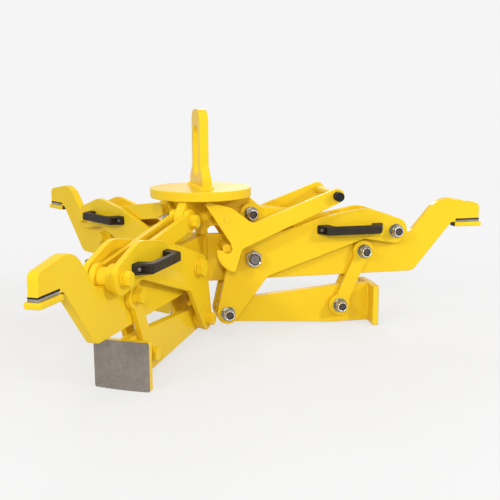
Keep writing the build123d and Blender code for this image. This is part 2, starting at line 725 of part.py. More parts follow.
# Pads: a bar and a curved plate on each arm, with the bolt of the swing links
pad_reach = SWING_END[0] + PAD_FACE_OUT
pad_centre = pad_reach - PAD_FACE_RADIUS
pad_back_radius = PAD_FACE_RADIUS - PAD_PLATE
bar_low = height(BAR_LIFT)
bar_high = height(PAD_HEIGHT - BAR_TOP_INSET)
bar_top = (SWING_END[0] + BAR_TOP_OUT, bar_high)
bar_bottom = (SWING_END[0] - BAR_BOTTOM_IN, bar_low)
with BuildPart() as pad_bar:
    with BuildSketch(side_face(ARM_FACE)):
        with BuildLine():
            Polyline(
                tangent_point(bar_top, PAD_PIVOT, EYE_RADIUS, -1),
                bar_top,
                (pad_reach, bar_high),
                (pad_reach, bar_low),
                bar_bottom,
                tangent_point(bar_bottom, PAD_PIVOT, EYE_RADIUS, 1),
                close=True,
            )
        make_face()
        with Locations(PAD_PIVOT):
            Circle(EYE_RADIUS)
            Circle(BOLT_RADIUS + FIT, mode=Mode.SUBTRACT)
        with Locations(SWING_END):
            Circle(BOLT_RADIUS + FIT, mode=Mode.SUBTRACT)
    extrude(amount=ARM_PLATE)
    with BuildSketch(Plane.XY.offset(height(0) - EYE_RADIUS)):
        with Locations((pad_centre, 0)):
            Circle(pad_back_radius)
    extrude(amount=PAD_HEIGHT + 2 * EYE_RADIUS, mode=Mode.INTERSECT)
    bar_edges = broad_edges(pad_bar).filter_by_position(Axis.X, 0, pad_reach - 2 * PAD_PLATE)
    fillet(bar_edges, EDGE_ROUND)

with BuildPart() as pad_plate:
    with BuildSketch(Plane.XY.offset(height(0))):
        with Locations((pad_centre, 0)):
            Circle(PAD_FACE_RADIUS)
            Circle(pad_back_radius, mode=Mode.SUBTRACT)
        with Locations((pad_reach, 0)):
            Rectangle(PAD_FACE_RADIUS, PAD_WIDTH, mode=Mode.INTERSECT)
    extrude(amount=PAD_HEIGHT)
    fillet(pad_plate.edges().filter_by(Axis.X), PAD_CORNER)
    chamfer(pad_plate.faces().sort_by(SortBy.AREA)[-1].edges(), PAD_EDGE)

pad_heads, pad_nuts = small_bolt(SWING_END, LINK_OUTER + SIDE_CLEARANCE)
for arm in ARM_ANGLES:
    save(turned(pad_bar.part, arm), f"pad_bar_{arm}")
    save(turned(pad_plate.part, arm), f"pad_plate_{arm}")
    save_group([turned(piece, arm) for piece in pad_heads], f"pad_bolts_{arm}")
    save_group([turned(piece, arm) for piece in pad_nuts], f"pad_nuts_{arm}")

# Latch lever on the right arm: two claw plates joined by a pivot pin and a cross rod
latch_notch = beside(LATCH_PIVOT, LATCH_NOTCH_OUT, -LATCH_NOTCH_DROP)
latch_crook = beside(LATCH_PIVOT, LATCH_CROOK_OUT, -LATCH_CROOK_DROP)
latch_heel = (LATCH_PIVOT[0] - LATCH_HEEL_IN, height(DISC_UNDERSIDE) - LATCH_STOP_GAP)
claw_lip = beside(LATCH_PIVOT, -CLAW_LIP_IN, -CLAW_LIP_DROP)
with BuildPart() as latch_plate:
    with BuildSketch(side_face(LATCH_OUTER)):
        with BuildLine():
            rounded_outline(
                (latch_heel, LATCH_HEEL_ROUND),
                (beside(LATCH_PIVOT, LATCH_BROW_OUT, LATCH_BROW_RISE), LATCH_BROW_ROUND),
                (latch_notch, LATCH_NOTCH_ROUND),
                (tangent_point(latch_notch, LATCH_ROD, LATCH_ROD_EYE, 1), 0),
                (tangent_point(latch_crook, LATCH_ROD, LATCH_ROD_EYE, -1), 0),
                (latch_crook, LATCH_CROOK_ROUND),
                (beside(LATCH_PIVOT, CLAW_TIP_OUT, -CLAW_TIP_DROP), CLAW_TIP_ROUND),
                (beside(LATCH_PIVOT, -CLAW_BELLY_IN, -CLAW_BELLY_DROP), CLAW_BELLY_ROUND),
                (claw_lip, CLAW_LIP_ROUND),
                (beside(claw_lip, CLAW_LIP_WIDTH, -CLAW_LIP_FALL), 0),
                (LATCH_PIN, 0),
                (beside(LATCH_PIVOT, CLAW_JAW_OUT, -CLAW_JAW_DROP), CLAW_LIP_ROUND),
            )
        make_face()
        with Locations(LATCH_ROD):
            Circle(LATCH_ROD_EYE)
            Circle(LATCH_ROD_RADIUS + FIT, mode=Mode.SUBTRACT)
        with Locations(LATCH_PIVOT):
            Circle(LATCH_PIVOT_RADIUS + FIT, mode=Mode.SUBTRACT)
    extrude(amount=LATCH_PLATE)
    fillet(broad_edges(latch_plate), THIN_EDGE_ROUND)
    with BuildSketch(side_face(LATCH_OUTER)):
        with Locations(LATCH_PIN):
            Circle(LATCH_PIN_RADIUS + LATCH_PIN_ROOM)
    extrude(amount=LATCH_PLATE, mode=Mode.SUBTRACT)

# Caps on the ends of the cross rod
rod_end = LATCH_OUTER + LATCH_CAP_LENGTH - 2 * LATCH_CAP_WALL
with BuildPart() as rod_cap:
    with BuildSketch(side_face(LATCH_OUTER + LATCH_CAP_LENGTH)):
        with Locations(LATCH_ROD):
            Circle(LATCH_ROD_RADIUS + LATCH_CAP_WALL)
    extrude(amount=LATCH_CAP_LENGTH)
    with BuildSketch(side_face(rod_end)):
        with Locations(LATCH_ROD):
            Circle(LATCH_ROD_RADIUS + FIT)
    extrude(amount=rod_end - LATCH_OUTER, mode=Mode.SUBTRACT)
    fillet(rod_cap.faces().sort_by(Axis.Y)[-1].edges(), LATCH_CAP_WALL)

pivot_pin_end = LATCH_OUTER + LATCH_PIVOT_END
with BuildPart() as pivot_pin:
    add(round_bar(LATCH_PIVOT, LATCH_PIVOT_RADIUS, -pivot_pin_end, pivot_pin_end))
    fillet(pivot_pin.edges().filter_by(GeomType.CIRCLE), LATCH_PIVOT_ROUND)

latch_left, latch_right = with_mirror_image(latch_plate.part)
save(latch_left, "latch_plate_left")
save(latch_right, "latch_plate_right")
save(round_bar(LATCH_ROD, LATCH_ROD_RADIUS, -rod_end, rod_end), "latch_rod")
save(pivot_pin.part, "latch_pivot_pin")
save_group(with_mirror_image(rod_cap.part), "latch_rod_caps")
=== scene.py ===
import json
import math
from typing import NamedTuple

import bmesh
import bpy
from mathutils import Matrix, Quaternion, Vector, noise


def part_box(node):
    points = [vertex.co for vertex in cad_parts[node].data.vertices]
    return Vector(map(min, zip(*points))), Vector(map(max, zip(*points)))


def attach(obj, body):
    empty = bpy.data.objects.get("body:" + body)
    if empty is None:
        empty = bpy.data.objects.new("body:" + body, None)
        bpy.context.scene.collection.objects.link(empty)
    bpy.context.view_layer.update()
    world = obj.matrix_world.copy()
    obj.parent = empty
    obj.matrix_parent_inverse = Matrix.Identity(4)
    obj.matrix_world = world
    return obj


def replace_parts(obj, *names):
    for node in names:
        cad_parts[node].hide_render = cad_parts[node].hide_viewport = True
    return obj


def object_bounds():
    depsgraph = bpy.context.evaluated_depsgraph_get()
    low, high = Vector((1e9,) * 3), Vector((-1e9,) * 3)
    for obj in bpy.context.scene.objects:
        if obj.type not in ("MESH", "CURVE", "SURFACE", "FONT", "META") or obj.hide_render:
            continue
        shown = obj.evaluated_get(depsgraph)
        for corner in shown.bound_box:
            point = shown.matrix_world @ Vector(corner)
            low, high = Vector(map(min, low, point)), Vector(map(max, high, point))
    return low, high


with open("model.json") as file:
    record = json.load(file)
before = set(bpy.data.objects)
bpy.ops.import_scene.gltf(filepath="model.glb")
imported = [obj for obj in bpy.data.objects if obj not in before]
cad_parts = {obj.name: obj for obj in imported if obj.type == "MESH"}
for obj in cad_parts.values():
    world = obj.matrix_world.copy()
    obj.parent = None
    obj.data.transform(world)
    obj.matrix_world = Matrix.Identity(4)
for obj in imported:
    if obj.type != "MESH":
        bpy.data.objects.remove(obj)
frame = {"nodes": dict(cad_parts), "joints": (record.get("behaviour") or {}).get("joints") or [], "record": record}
cad_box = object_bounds()
nodes = frame["nodes"]
joints = {joint["name"]: joint for joint in frame["joints"]}

# Sizes are in metres, in the frame of the part: +Z up, +X out along the right arm

# Arms, and the angle from an arm to the middle of the gap beside it, in degrees
ARM_ANGLES = {"right": 0, "rear": 120, "front": 240}
HALF_SPREAD = 60

# Room between a moving plate and its washers, and the crank's spacers
SIDE_CLEARANCE = 0.0001
SPACER_RADIUS = 0.020

# Lifting lug: its plate stands across the right arm, turned by a few degrees
LUG_TURN = 4
LUG_THICK = 0.022
LUG_FOOT = 0.140

# Pads: the outer face is bare steel, and the paint ends raggedly just under it
PAD_FACE_RADIUS = 0.500
PAD_PLATE = 0.015
PAD_PAINT_END = 0.0009
PAD_BARE_START = 0.0005
PAD_RAGGED = 0.0004

# Handle screws, each in a well near an end of its handle. Dome and socket are profiles, in shares of
# their own radius and of the head's height.
SCREW_IN = 0.0095
SCREW_HEAD_RADIUS = 0.005
SCREW_HEAD = 0.005
SCREW_DOME = ((1.0, 0.0), (1.0, 0.6), (0.85, 0.9), (0.6, 1.0))
SOCKET_RADIUS = 0.0025
SOCKET_WALL = ((1.0, 1.0), (0.9, 0.4))
WELL_FLOOR = 0.0105


class Fastener(NamedTuple):
    """Sizes of a bolt with its nut and washers."""

    radius: float  # of the shank
    spanner: float  # across the flats
    head: float  # height of the bolt's head
    nut: float  # height of the nut
    washer: float  # radius of the washers
    thick: float  # of the washers
    end: float  # how far the bolt stands out of its nut
    ring_hole: float  # radius of the hole in the nut's dark ring


# Small bolts end inside their nuts, and the large ones that carry the cranks end level with them
SMALL = Fastener(
    radius=0.009,
    spanner=0.027,
    head=0.0125,
    nut=0.0205,
    washer=0.017,
    thick=0.004,
    end=-0.002,
    ring_hole=0.0072,
)
LARGE = Fastener(
    radius=0.012,
    spanner=0.036,
    head=0.015,
    nut=0.024,
    washer=0.022,
    thick=0.004,
    end=0.0005,
    ring_hole=0.0123,
)

# Details that both sizes share
NUT_HEX_SHARE = 0.7
COLLAR_INSET = 0.0015
COLLAR_LIP = 0.0024
LIP_ROUND = 0.3
RING_DEPTH = 0.0019
BORE_PLAY = 0.00005
THREAD_PITCH = 0.0025
THREAD_DEPTH = 0.0007
END_CHAMFER = 0.0014
EDGE_SOFT = 0.0006
HEX_SECTOR = math.radians(60)
HEX_FLAT_SHARE = 0.97
CHAMFER_SLOPE = math.tan(math.radians(30))

# Steps around a round piece, and the angle from which an edge is shown sharp
SEGMENTS = 72
SHARP_EDGE = math.radians(30)

# Steps, ripples and unevenness of a weld bead
WELD_STEP = 0.0011
WELD_SEGMENTS = 12
RIPPLE_LENGTH = 0.0040
RIPPLE_SHARE = 0.07
WANDER_SHARE = 0.08
WANDER_SCALE = 70
UPRIGHT = 0.99

# Radius of each bead, how far it stops short of its seam's ends, and how far the star's lie out
LUG_BEAD = 0.0065
BRACKET_BEAD = 0.0035
BRACKET_SHORT = 0.010
POST_BEAD = 0.0055
STAR_BEAD = 0.0065
STAR_SHORT = 0.004
STAR_OUT = 0.001
PAD_BEAD = 0.0045
PAD_SHORT = 0.006

# Camera of the photograph, with its roll in radians and its lens and sensor in millimetres
CAMERA_PLACE = Vector((-0.2790, -1.8817, 0.0854))
CAMERA_FORWARD = Vector((0.20353, 0.96137, -0.18532))
CAMERA_ROLL = -0.0046
CAMERA_LENS = 57.54
SENSOR = 36.0

# Floor, background and light
FLOOR_SIZE = 16.0
FLOOR_DROP = 0.0005
FLOOR_NEAR = 0.7
FLOOR_FAR = 2.2
FLOOR_GLOW = 1.04
FLOOR_GLOW_SHARE = 0.6
BACKGROUND = 0.913
WORLD_LIGHT = 0.66
LIGHT_AIM = Vector((0, 0, -0.25))


# Places and faces that come from the frame


def outer_face(node):
    """Distance of a node's outer face from the middle plane of the right arm."""
    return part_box(node)[1][1]


def pivot(name):
    """Reach and height of a joint's pivot on the right arm."""
    place = joints[f"{name}_right"]["pos_m"]
    return Vector((place[0], 0, place[2]))


def arm_matrix(arm):
    """Turns a point of the right arm into the place of another arm."""
    return Matrix.Rotation(math.radians(ARM_ANGLES[arm]), 4, "Z")


def left_of(arm):
    """The direction to the left of an arm, seen along it from the middle."""
    return arm_matrix(arm).to_3x3() @ Vector((0, 1, 0))


ARM_FACE = outer_face("hook_arm_right")
LINK_FACE = outer_face("link_bars_right") + SIDE_CLEARANCE
CRANK_OUTER = outer_face("crank_plate_left_right")
CRANK_FACE = CRANK_OUTER + SIDE_CLEARANCE
POST_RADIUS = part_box("centre_post")[1][0]
CRANK_PIVOT = pivot("crank_turn")
LINK_PIVOT = pivot("link_turn")
SWING_PIVOT = pivot("swing_turn")
PAD_PIVOT = pivot("pad_turn")
SWING_END = SWING_PIVOT + PAD_PIVOT - CRANK_PIVOT
spacers_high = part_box("crank_spacers_right")[1]
CRANK_END = Vector((spacers_high[0] - SPACER_RADIUS, 0, spacers_high[2] - SPACER_RADIUS))
PAD_AXIS = Vector((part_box("pad_plate_right")[1][0] - PAD_FACE_RADIUS, 0, 0))


# Materials


class Finish:
    """A node material with a principled shader and the coordinates of the frame."""

    def __init__(self, name):
        self.material = bpy.data.materials.new(name)
        self.material.use_nodes = True
        self.tree = self.material.node_tree
        self.shader = self.tree.nodes["Principled BSDF"]
        self.place = self.add("ShaderNodeTexCoord").outputs["Object"]

    def add(self, kind, **settings):
        """A new node with its settings."""
        node = self.tree.nodes.new(kind)
        for key, value in settings.items():
            setattr(node, key, value)
        return node

    def link(self, source, target):
        """Joins an output to an input."""
        self.tree.links.new(source, target)

    def feed(self, socket, source):
        """Joins an output to one of the shader's sockets."""
        self.link(source, self.shader.inputs[socket])

    def set(self, socket, value):
        """A constant on one of the shader's sockets."""
        self.shader.inputs[socket].default_value = value

    def noise(self, scale, detail=2.0, roughness=0.5):
        """A noise value over the frame's coordinates."""
        node = self.add("ShaderNodeTexNoise")
        node.inputs["Scale"].default_value = scale
        node.inputs["Detail"].default_value = detail
        node.inputs["Roughness"].default_value = roughness
        self.link(self.place, node.inputs["Vector"])
        return node.outputs["Fac"]

    def ramp(self, value, *stops):
        """Colours along a value."""
        node = self.add("ShaderNodeValToRGB")
        elements = node.color_ramp.elements
        while len(elements) < len(stops):
            elements.new(0.5)
        for element, (position, colour) in zip(elements, stops):
            element.position = position
            element.color = (*colour, 1)
        self.link(value, node.inputs["Fac"])
        return node.outputs["Color"]

    def span(self, value, low, high, start=0.0, end=1.0):
        """A value mapped from the range of start and end to that of low and high."""
        node = self.add("ShaderNodeMapRange")
        node.inputs["From Min"].default_value = start
        node.inputs["From Max"].default_value = end
        node.inputs["To Min"].default_value = low
        node.inputs["To Max"].default_value = high
        self.link(value, node.inputs["Value"])
        return node.outputs["Result"]

    def combine(self, operation, first, second):
        """Two values joined by an operation."""
        node = self.add("ShaderNodeMath", operation=operation)
        self.link(first, node.inputs[0])
        self.link(second, node.inputs[1])
        return node.outputs["Value"]

    def mix(self, share, first, second):
        """Two colours mixed by a share."""
        node = self.add("ShaderNodeMix", data_type="RGBA")
        self.link(share, node.inputs["Factor"])
        self.link(first, node.inputs["A"])
        self.link(second, node.inputs["B"])
        return node.outputs["Result"]

    def bump(self, value, distance, strength, under=None):
        """A height as a normal, over another normal where there is one."""
        node = self.add("ShaderNodeBump")
        node.inputs["Strength"].default_value = strength
        node.inputs["Distance"].default_value = distance
        self.link(value, node.inputs["Height"])
        if under is not None:
            self.link(under, node.inputs["Normal"])
        return node.outputs["Normal"]

    def distance(self, centre, axes):
        """The distance from a point, counted along some axes only."""
        shifted = self.add("ShaderNodeVectorMath", operation="SUBTRACT")
        self.link(self.place, shifted.inputs[0])
        shifted.inputs[1].default_value = centre
        kept = self.add("ShaderNodeVectorMath", operation="MULTIPLY")
        self.link(shifted.outputs["Vector"], kept.inputs[0])
        kept.inputs[1].default_value = axes
        length = self.add("ShaderNodeVectorMath", operation="LENGTH")
        self.link(kept.outputs["Vector"], length.inputs[0])
        return length.outputs["Value"]


def paint_colour(finish):
    """Yellow paint with a slight unevenness and fine specks of dust."""
    clean = (0.845, 0.565, 0.016)
    speck = (0.72, 0.45, 0.018)
    tone = finish.ramp(
        finish.noise(scale=6.0, detail=3.0),
        (0.30, (0.828, 0.540, 0.014)),
        (0.70, (0.862, 0.590, 0.018)),
    )
    dust = finish.ramp(
        finish.noise(scale=240.0, roughness=0.6),
        (0.0, speck),
        (0.28, clean),
        (1.0, clean),
    )
    dusty = finish.span(finish.noise(scale=31.0), low=0.1, high=0.5)
    return finish.mix(dusty, tone, dust)


def paint_normal(finish):
    """The slight waviness and orange peel of thick paint."""
    waves = finish.bump(finish.noise(scale=14.0, detail=1.0), distance=0.0005, strength=0.25)
    return finish.bump(finish.noise(scale=420.0, detail=1.0), distance=0.00006, strength=0.3, under=waves)


def yellow_paint():
    """Thick yellow paint on steel, with a thin clear gloss."""
    finish = Finish("yellow_paint")
    finish.feed("Base Color", paint_colour(finish))
    finish.feed("Roughness", finish.span(finish.noise(scale=40.0, detail=3.0), low=0.30, high=0.48))
    finish.feed("Normal", paint_normal(finish))
    finish.set("Specular IOR Level", 0.05)
    finish.set("Coat Weight", 0.2)
    finish.set("Coat Roughness", 0.07)
    return finish.material


def steel_colour(finish):
    """Mottled grey of bare rolled steel."""
    cloud = finish.ramp(
        finish.noise(scale=55.0, detail=4.0, roughness=0.65),
        (0.25, (0.195, 0.172, 0.147)),
        (0.5, (0.250, 0.222, 0.193)),
        (0.8, (0.305, 0.273, 0.240)),
    )
    stain = finish.ramp(
        finish.noise(scale=160.0, detail=3.0, roughness=0.7),
        (0.35, (0.190, 0.164, 0.135)),
        (0.62, (0.270, 0.240, 0.210)),
    )
    stained = finish.span(finish.noise(scale=21.0), low=0.15, high=0.6)
    return finish.mix(stained, cloud, stain)


def pad_steel(arm):
    """A pad whose outer face is bare rolled steel, with paint on its edges and back."""
    finish = Finish(f"pad_steel_{arm}")
    from_axis = finish.distance(arm_matrix(arm) @ PAD_AXIS, axes=(1, 1, 0))
    ragged = finish.span(finish.noise(scale=120.0), low=-PAD_RAGGED, high=PAD_RAGGED)
    bare = finish.span(
        finish.combine("ADD", from_axis, ragged),
        low=0.0,
        high=1.0,
        start=PAD_FACE_RADIUS - PAD_PAINT_END,
        end=PAD_FACE_RADIUS - PAD_BARE_START,
    )
    grain = finish.noise(scale=240.0, detail=3.0, roughness=0.6)
    finish.feed("Base Color", finish.mix(bare, paint_colour(finish), steel_colour(finish)))
    finish.feed("Metallic", finish.span(bare, low=0.0, high=0.45))
    finish.feed("Roughness", finish.span(bare, low=0.38, high=0.5))
    finish.feed("Normal", finish.bump(grain, distance=0.00012, strength=0.5))
    finish.set("Specular IOR Level", 0.3)
    return finish.material


def bright_steel():
    """Polished steel strips, slightly wavy."""
    finish = Finish("bright_steel")
    colour = finish.ramp(
        finish.noise(scale=60.0),
        (0.3, (0.28, 0.265, 0.22)),
        (0.7, (0.44, 0.42, 0.37)),
    )
    finish.feed("Base Color", colour)
    finish.feed("Roughness", finish.span(finish.noise(scale=90.0), low=0.10, high=0.22))
    finish.feed("Normal", finish.bump(finish.noise(scale=25.0, detail=1.0), distance=0.0006, strength=0.4))
    finish.set("Metallic", 1.0)
    return finish.material


def zinc_steel(name, dark, light):
    """Zinc plating with a slight cloudiness."""
    finish = Finish(name)
    finish.feed("Base Color", finish.ramp(finish.noise(scale=120.0, detail=3.0), (0.3, dark), (0.7, light)))
    finish.feed("Roughness", finish.span(finish.noise(scale=300.0), low=0.12, high=0.28))
    finish.feed("Normal", finish.bump(finish.noise(scale=700.0), distance=0.00005, strength=0.5))
    finish.set("Metallic", 1.0)
    return finish.material


def thread_steel(name, dark, light):
    """Grey steel of the bolt ends."""
    finish = Finish(name)
    cloud = finish.noise(scale=260.0, detail=4.0, roughness=0.7)
    finish.feed("Base Color", finish.ramp(cloud, (0.3, dark), (0.7, light)))
    finish.feed("Roughness", finish.span(finish.noise(scale=400.0), low=0.35, high=0.6))
    finish.set("Metallic", 0.8)
    return finish.material


def dark_plastic(name, dark, light, grain, depth):
    """Moulded plastic or rubber with a fine grain."""
    finish = Finish(name)
    finish.feed("Base Color", finish.ramp(finish.noise(scale=40.0, detail=3.0), (0.3, dark), (0.7, light)))
    finish.feed("Roughness", finish.span(finish.noise(scale=60.0), low=0.44, high=0.62))
    finish.feed("Normal", finish.bump(finish.noise(scale=grain, roughness=0.6), distance=depth, strength=0.5))
    finish.set("Specular IOR Level", 0.18)
    return finish.material


PAINT = yellow_paint()
ZINC = zinc_steel("zinc_steel", dark=(0.25, 0.243, 0.225), light=(0.42, 0.41, 0.385))
# Painted highlight: the lips of the nut collars get a near-white copy of the zinc, standing in for glints on their
# rounded edge
LIP_HIGHLIGHT = zinc_steel("zinc_lip_highlight", dark=(0.80, 0.79, 0.80), light=(0.92, 0.91, 0.92))
THREAD = thread_steel("thread_steel", dark=(0.10, 0.092, 0.082), light=(0.26, 0.245, 0.22))
# Painted shade: a darker copy of the thread steel for the small bolt ends, which sit recessed inside their nuts
SHADED_THREAD = thread_steel("thread_painted_shade", dark=(0.045, 0.039, 0.030), light=(0.13, 0.115, 0.09))
PLASTIC = dark_plastic(
    "black_plastic", dark=(0.022, 0.016, 0.011), light=(0.034, 0.026, 0.018), grain=900.0, depth=0.00008
)
RUBBER = dark_plastic(
    "black_rubber", dark=(0.006, 0.0055, 0.0055), light=(0.014, 0.013, 0.0125), grain=600.0, depth=0.00012
)
NYLON = dark_plastic(
    "dark_nylon", dark=(0.013, 0.010, 0.018), light=(0.026, 0.020, 0.034), grain=500.0, depth=0.00005
)
# Small bolt ends take the darker thread steel as painted shade of their recess
BOLT_END = {SMALL: SHADED_THREAD, LARGE: THREAD}
SLOT_FINISH = {
    "yellow_paint": PAINT,
    "zinc_steel": ZINC,
    "bare_steel": bright_steel(),
    "black_plastic": PLASTIC,
    "black_rubber": RUBBER,
}
NODE_FINISH = {f"pad_plate_{arm}": pad_steel(arm) for arm in ARM_ANGLES}
NODE_FINISH["latch_rod_caps"] = RUBBER

for subpart in frame["record"]["subparts"]:
    node_name = subpart["node"]
    for material_slot in nodes[node_name].material_slots:
        material_slot.material = NODE_FINISH.get(node_name, SLOT_FINISH[subpart["material_slot"]])


# Pieces made of rings of vertices


class Shell:
    """A mesh built from rings of vertices."""

    def __init__(self, *materials):
        self.mesh = bmesh.new()
        self.materials = materials

    def ring(self, points):
        """A closed row of vertices."""
        return [self.mesh.verts.new(point) for point in points]

    def skin(self, first, second, material):
        """Faces between two rings of the same length."""
        for i, vertex in enumerate(first):
            j = (i + 1) % len(first)
            face = self.mesh.faces.new((vertex, first[j], second[j], second[i]))
            face.material_index = self.materials.index(material)
            face.smooth = True

    def cap(self, ring, material):
        """One face over a ring."""
        face = self.mesh.faces.new(ring)
        face.material_index = self.materials.index(material)

    def stack(self, rings, material):
        """A closed body through several rings."""
        made = [self.ring(points) for points in rings]
        for first, second in zip(made, made[1:]):
            self.skin(first, second, material)
        self.cap(made[0][::-1], material)
        self.cap(made[-1], material)

    def tube(self, bands):
        """A body around a hole: rings that lead back to the first, each with the material before it."""
        made = [self.ring(points) for points, _ in bands]
        for i, (_, material) in enumerate(bands):
            self.skin(made[i - 1], made[i], material)

    def piece(self, name, body):
        """The finished piece, riding on a body."""
        bmesh.ops.recalc_face_normals(self.mesh, faces=self.mesh.faces)
        for edge in self.mesh.edges:
            if len(edge.link_faces) == 2 and edge.calc_face_angle() > SHARP_EDGE:
                edge.smooth = False
        mesh = bpy.data.meshes.new(name)
        self.mesh.to_mesh(mesh)
        self.mesh.free()
        for material in self.materials:
            mesh.materials.append(material)
        made = bpy.data.objects.new(name, mesh)
        bpy.context.scene.collection.objects.link(made)
        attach(made, body)
        return made


def polar(radius, angle, distance):
    """A point by its radius and angle about an axis and its distance along it."""
    return Vector((radius * math.cos(angle), radius * math.sin(angle), distance))


def even_angles(count):
    """Even steps of a full turn."""
    return [2 * math.pi * i / count for i in range(count)]


def circle(place, out, radius, distance):
    """Points of a circle about an axis, at a distance along it."""
    turn = out.to_track_quat("Z", "Y")
    return [place + turn @ polar(radius, angle, distance) for angle in even_angles(SEGMENTS)]


def hexagon(place, out, spanner, distance, chamfered=False):
    """Points of a hexagon's outline, whose corners fall away where it is chamfered."""
    turn = out.to_track_quat("Z", "Y")
    points = []
    for angle in even_angles(SEGMENTS):
        from_flat = (angle + HEX_SECTOR / 2) % HEX_SECTOR - HEX_SECTOR / 2
        radius = spanner / 2 / math.cos(from_flat)
        fall = (radius - spanner / 2 * HEX_FLAT_SHARE) * CHAMFER_SLOPE if chamfered else 0
        points.append(place + turn @ polar(radius, angle, distance - fall))
    return points


def turned(shell, place, out, profile, material):
    """A turned body: radius and distance along the axis for each ring."""
    shell.stack([circle(place, out, radius, distance) for radius, distance in profile], material)


# Bolts, nuts and screws


def washer(shell, place, out, face, size, material):
    """A flat washer with softened edges."""
    hole = size.radius + BORE_PLAY
    top = face + size.thick
    profile = [
        (hole, face),
        (size.washer - EDGE_SOFT, face),
        (size.washer, face + EDGE_SOFT),
        (size.washer, top - EDGE_SOFT),
        (size.washer - EDGE_SOFT, top),
        (hole, top),
    ]
    shell.tube([(circle(place, out, radius, distance), material) for radius, distance in profile])


def threaded(radius, start, end):
    """A profile with the ridges of a thread and a chamfered tip."""
    profile = []
    distance = start
    while distance + THREAD_PITCH < end - END_CHAMFER:
        profile.append((radius, distance))
        profile.append((radius - THREAD_DEPTH, distance + THREAD_PITCH / 2))
        distance += THREAD_PITCH
    profile.append((radius, end - END_CHAMFER))
    profile.append((radius - END_CHAMFER, end))
    return profile


def bolt(shell, place, out, face, size):
    """A painted hexagon bolt on its washer, with its threaded end on the other side; on small bolts that end
    carries painted shade.
    """
    washer(shell, place, out, face, size, PAINT)
    seat = face + size.thick
    top = seat + size.head
    flat = size.spanner / 2 * HEX_FLAT_SHARE
    rings = [
        circle(place, out, flat, seat),
        hexagon(place, out, size.spanner, seat + EDGE_SOFT),
        hexagon(place, out, size.spanner, top, chamfered=True),
        circle(place, out, flat, top),
    ]
    shell.stack(rings, PAINT)
    shank = [(size.radius, -seat)] + threaded(size.radius, seat, seat + size.nut + size.end)
    turned(shell, place, -out, shank, BOLT_END[size])


def nut(shell, place, out, face, size, washer_material):
    """A lock nut on its washer: a hexagon, a round collar whose lip carries a painted highlight, and a dark ring
    in it.
    """
    washer(shell, place, out, face, size, washer_material)
    seat = face + size.thick
    hex_top = seat + size.nut * NUT_HEX_SHARE
    top = seat + size.nut
    hole = size.radius + BORE_PLAY
    flat = size.spanner / 2 * HEX_FLAT_SHARE
    collar = size.spanner / 2 - COLLAR_INSET
    ring_low = top - RING_DEPTH
    rounding = COLLAR_LIP * LIP_ROUND
    bands = [
        (circle(place, out, hole, seat), ZINC),
        (circle(place, out, flat, seat), ZINC),
        (hexagon(place, out, size.spanner, seat + EDGE_SOFT), ZINC),
        (hexagon(place, out, size.spanner, hex_top, chamfered=True), ZINC),
        (circle(place, out, collar, hex_top), ZINC),
        (circle(place, out, collar, top - COLLAR_LIP), ZINC),
        (circle(place, out, collar - rounding, top - rounding), LIP_HIGHLIGHT),
        (circle(place, out, collar - COLLAR_LIP + rounding, top), LIP_HIGHLIGHT),
        (circle(place, out, collar - COLLAR_LIP, top - EDGE_SOFT), LIP_HIGHLIGHT),
        (circle(place, out, size.ring_hole, top - 2 * EDGE_SOFT), NYLON),
        (circle(place, out, size.ring_hole, ring_low), NYLON),
        (circle(place, out, hole, ring_low), NYLON),
    ]
    shell.tube(bands)


def screw(shell, place, out, face):
    """The domed head of a handle screw, with a round socket."""
    dome = [(SCREW_HEAD_RADIUS * across, face + SCREW_HEAD * up) for across, up in SCREW_DOME]
    socket = [(SOCKET_RADIUS * across, face + SCREW_HEAD * up) for across, up in SOCKET_WALL]
    turned(shell, place, out, dome + socket, THREAD)


def show_bolts(node, body, arms, places, face, size):
    """Detailed bolts in place of a node's plain ones."""
    shell = Shell(PAINT, BOLT_END[size])
    for arm in arms:
        for place in places:
            bolt(shell, arm_matrix(arm) @ place, left_of(arm), face, size)
    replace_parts(shell.piece(f"{node}_detailed", body), node)


def show_nuts(node, body, arms, places, face, size, washers=ZINC, screw_places=()):
    """Detailed nuts in place of a node's plain ones, with the handle screws where a node holds them."""
    shell = Shell(ZINC, LIP_HIGHLIGHT, PAINT, NYLON, THREAD)
    for arm in arms:
        for place in places:
            nut(shell, arm_matrix(arm) @ place, -left_of(arm), face, size, washers)
        for place in screw_places:
            for out in (left_of(arm), -left_of(arm)):
                screw(shell, arm_matrix(arm) @ place, out, CRANK_OUTER + WELL_FLOOR)
    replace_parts(shell.piece(f"{node}_detailed", body), node)


def handle_screw_places():
    """The two screws of a handle on the right arm, near its ends."""
    low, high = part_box("handles_right")
    height = (low[2] + high[2]) / 2
    return [Vector((reach, 0, height)) for reach in (low[0] + SCREW_IN, high[0] - SCREW_IN)]


